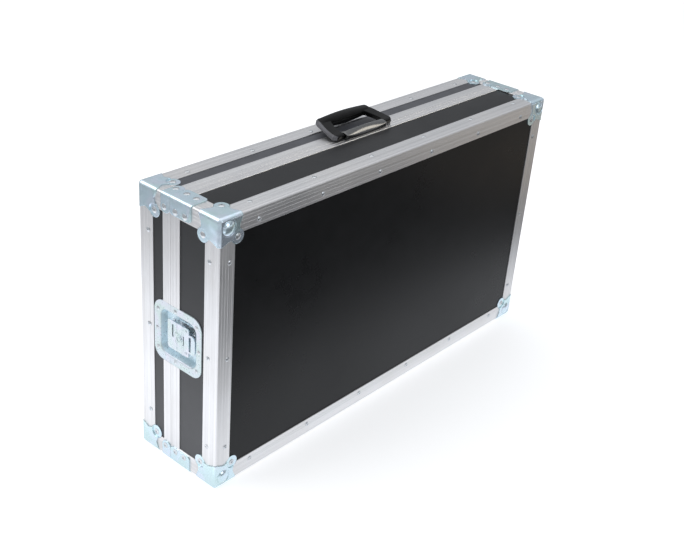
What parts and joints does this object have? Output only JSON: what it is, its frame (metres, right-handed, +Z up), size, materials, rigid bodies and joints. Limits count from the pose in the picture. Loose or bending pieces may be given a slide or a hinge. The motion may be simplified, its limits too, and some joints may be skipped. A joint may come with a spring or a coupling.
{
  "type": "flight case",
  "caption": "Slim upright flight case with black panels in riveted aluminium angles, steel corners, recessed turn latches, a lift-off lid and a folding top handle.",
  "frame": {"origin": "centre of the footprint, on the surface the case stands on", "axes": "+X along the case's length, -Y towards the large panel of the deep half, +Y towards the lid's large panel, +Z up through the handle"},
  "size_m": [0.8226, 0.183, 0.4911],
  "materials": {
    "black_laminate": "plywood faced with smooth black laminate, satin gloss",
    "aluminium": "drawn aluminium extrusion, fine lengthwise lines",
    "zinc_steel": "blue passivated zinc plate, slightly mottled",
    "rivet_steel": "bright zinc plated",
    "handle_plastic": "black moulded plastic, glossy",
    "foam": "dark grey closed-cell foam"
  },
  "bodies": {
    "body": {"body_bottom_wall": "black_laminate", "body_closing_profile_bottom": "aluminium", "body_closing_profile_left": "aluminium", "body_closing_profile_right": "aluminium", "body_closing_profile_top": "aluminium", "body_corner_bottom_left": "zinc_steel", "body_corner_bottom_right": "zinc_steel", "body_corner_braces": "zinc_steel", "body_corner_top_left": "zinc_steel", "body_corner_top_right": "zinc_steel", "body_foam_lining": "foam", "body_front_edge_bottom": "aluminium", "body_front_edge_left": "aluminium", "body_front_edge_right": "aluminium", "body_front_edge_top": "aluminium", "body_front_panel": "black_laminate", "body_left_wall": "black_laminate", "body_right_wall": "black_laminate", "body_rivets": "rivet_steel", "body_short_edges": "aluminium", "body_top_wall": "black_laminate", "handle_base": "handle_plastic", "handle_pins": "rivet_steel", "handle_screws": "rivet_steel", "latch_base_plates": "zinc_steel", "latch_left_body_dish": "zinc_steel", "latch_right_body_dish": "zinc_steel"},
    "lid": {"latch_keepers": "zinc_steel", "latch_left_lid_dish": "zinc_steel", "latch_right_lid_dish": "zinc_steel", "lid_back_edge_bottom": "aluminium", "lid_back_edge_left": "aluminium", "lid_back_edge_right": "aluminium", "lid_back_edge_top": "aluminium", "lid_back_panel": "black_laminate", "lid_bottom_wall": "black_laminate", "lid_closing_profile_bottom": "aluminium", "lid_closing_profile_left": "aluminium", "lid_closing_profile_right": "aluminium", "lid_closing_profile_top": "aluminium", "lid_corner_bottom_left": "zinc_steel", "lid_corner_bottom_right": "zinc_steel", "lid_corner_braces": "zinc_steel", "lid_corner_top_left": "zinc_steel", "lid_corner_top_right": "zinc_steel", "lid_foam_lining": "foam", "lid_left_wall": "black_laminate", "lid_right_wall": "black_laminate", "lid_rivets": "rivet_steel", "lid_short_edges": "aluminium", "lid_top_wall": "black_laminate"},
    "handle": {"handle_grip": "handle_plastic"},
    "latch_left_hub": {"latch_left_hub": "zinc_steel"},
    "latch_left_lid_wing": {"latch_left_lid_wing": "zinc_steel"},
    "latch_left_body_wing": {"latch_left_body_wing": "zinc_steel"},
    "latch_left_hook": {"latch_left_hook": "zinc_steel"},
    "latch_right_hub": {"latch_right_hub": "zinc_steel"},
    "latch_right_lid_wing": {"latch_right_lid_wing": "zinc_steel"},
    "latch_right_body_wing": {"latch_right_body_wing": "zinc_steel"},
    "latch_right_hook": {"latch_right_hook": "zinc_steel"}
  },
  "joints": [
    {"name": "lid_lift_off", "type": "slide", "parent": "body", "child": "lid", "axis": [0, 1, 0], "range_m": [0, 0.14]},
    {"name": "handle_fold", "type": "hinge", "parent": "body", "child": "handle", "pos_m": [0, 0.01, 0.4725], "axis": [1, 0, 0], "range_deg": [0, 150]},
    {"name": "latch_left_turn", "type": "hinge", "parent": "body", "child": "latch_left_hub", "pos_m": [-0.4084, -0.001, 0.2365], "axis": [-1, 0, 0], "range_deg": [0, 180]},
    {"name": "latch_left_hook_slide", "type": "slide", "parent": "body", "child": "latch_left_hook", "axis": [-0.2425, 0.9701, 0], "range_m": [0, 0.0083]},
    {"name": "latch_left_lid_wing_fold", "type": "hinge", "parent": "latch_left_hub", "child": "latch_left_lid_wing", "pos_m": [-0.4057, 0.0065, 0.2365], "axis": [0, 0, 1], "range_deg": [0, 90]},
    {"name": "latch_left_body_wing_fold", "type": "hinge", "parent": "latch_left_hub", "child": "latch_left_body_wing", "pos_m": [-0.4057, -0.0085, 0.2365], "axis": [0, 0, -1], "range_deg": [0, 90]},
    {"name": "latch_right_turn", "type": "hinge", "parent": "body", "child": "latch_right_hub", "pos_m": [0.4084, -0.001, 0.2365], "axis": [1, 0, 0], "range_deg": [0, 180]},
    {"name": "latch_right_hook_slide", "type": "slide", "parent": "body", "child": "latch_right_hook", "axis": [0.2425, 0.9701, 0], "range_m": [0, 0.0083]},
    {"name": "latch_right_lid_wing_fold", "type": "hinge", "parent": "latch_right_hub", "child": "latch_right_lid_wing", "pos_m": [0.4057, 0.0065, 0.2365], "axis": [0, 0, -1], "range_deg": [0, 90]},
    {"name": "latch_right_body_wing_fold", "type": "hinge", "parent": "latch_right_hub", "child": "latch_right_body_wing", "pos_m": [0.4057, -0.0085, 0.2365], "axis": [0, 0, 1], "range_deg": [0, 90]}
  ],
  "couplings": [
    {"joint": "latch_left_hook_slide", "follows": "latch_left_turn", "m_per_rad": 0.0026248},
    {"joint": "latch_right_hook_slide", "follows": "latch_right_turn", "m_per_rad": 0.0026248}
  ]
}
